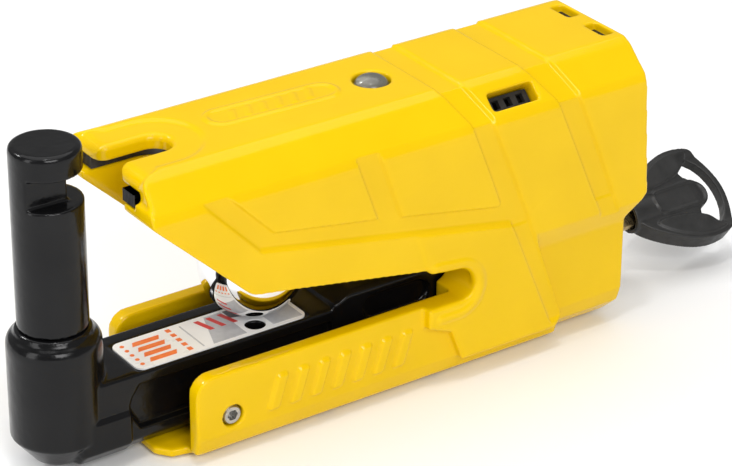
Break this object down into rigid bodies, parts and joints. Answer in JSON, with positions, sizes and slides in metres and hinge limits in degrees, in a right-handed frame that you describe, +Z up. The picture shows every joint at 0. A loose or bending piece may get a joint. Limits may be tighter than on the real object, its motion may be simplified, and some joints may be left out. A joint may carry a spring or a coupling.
{
  "type": "disc brake lock",
  "caption": "Motorcycle brake disc lock: an L-shaped bolt slides into a housing with a side mouth for the disc, an alarm above and a key cylinder at the rear.",
  "frame": {"origin": "in the flat underside of the housing, on the centre line, 70 mm behind the axis of the bolt's post with the lock open", "axes": "+X from the post to the key, along the lock; +Y across it; +Z up, along the post towards its head"},
  "size_m": [0.1705, 0.038, 0.0669],
  "materials": {
    "yellow_paint": "thick glossy powder coat",
    "black_paint": "glossy black with slight orange peel",
    "chrome": "mirror polish",
    "steel": "machined",
    "dark_steel": "blackened",
    "brass": "milled",
    "black_plastic": "fine moulded grain",
    "rubber": "matte",
    "board": "solder mask",
    "label_print": "printed film",
    "clear_lens": "clear dome",
    "led_white": "diffuse",
    "battery_wrap": "shrink film"
  },
  "bodies": {
    "housing_body": {"housing": "yellow_paint", "neck_guide": "dark_steel", "disc_stop_dome": "chrome", "set_screw_near": "steel", "set_screw_far": "steel", "cylinder_body": "steel", "cylinder_retainer": "steel", "travel_stop_pin": "steel", "led_lens": "clear_lens", "led": "led_white", "circuit_board": "board", "processor": "black_plastic", "motion_sensor": "black_plastic", "siren_driver": "black_plastic", "capacitor": "black_plastic", "coil": "black_plastic", "battery": "battery_wrap", "battery_tray": "black_plastic", "battery_contact_front": "steel", "battery_contact_rear": "steel", "siren": "black_plastic", "piezo_disc": "brass", "siren_grille": "black_plastic", "rear_cover": "black_plastic", "cover_seal": "rubber", "cover_screw_near_low": "steel", "cover_screw_near_high": "steel", "cover_screw_far_low": "steel", "cover_screw_far_high": "steel", "vent_screen_near": "dark_steel", "vent_screen_far": "dark_steel", "bolt_sensor": "black_plastic"},
    "bolt": {"bolt_beam": "black_paint", "bolt_post": "black_paint", "beam_label": "label_print", "beam_magnet": "steel"},
    "core": {"cylinder_core": "steel", "locking_disc_1": "brass", "locking_disc_2": "brass", "locking_disc_3": "brass", "locking_disc_4": "brass", "locking_disc_5": "brass", "locking_disc_6": "brass", "sidebar": "steel", "core_face_ring": "steel"},
    "key": {"key_blade": "brass", "key_bow": "black_plastic"},
    "latch": {"latch": "steel"}
  },
  "joints": [
    {"name": "bolt_slide", "type": "slide", "parent": "housing_body", "child": "bolt", "axis": [1, 0, 0], "range_m": [0, 0.021]},
    {"name": "key_turn", "type": "hinge", "parent": "housing_body", "child": "core", "pos_m": [0.0408, 0, 0.0126], "axis": [1, 0, 0], "range_deg": [-35, 55]},
    {"name": "latch_lift", "type": "slide", "parent": "housing_body", "child": "latch", "axis": [0, 0, 1], "range_m": [-0.0045, 0.0029]},
    {"name": "key_pull", "type": "slide", "parent": "core", "child": "key", "axis": [1, 0, 0], "range_m": [0, 0.03]}
  ],
  "couplings": [
    {"joint": "latch_lift", "follows": "key_turn", "m_per_rad": -0.0045837}
  ]
}
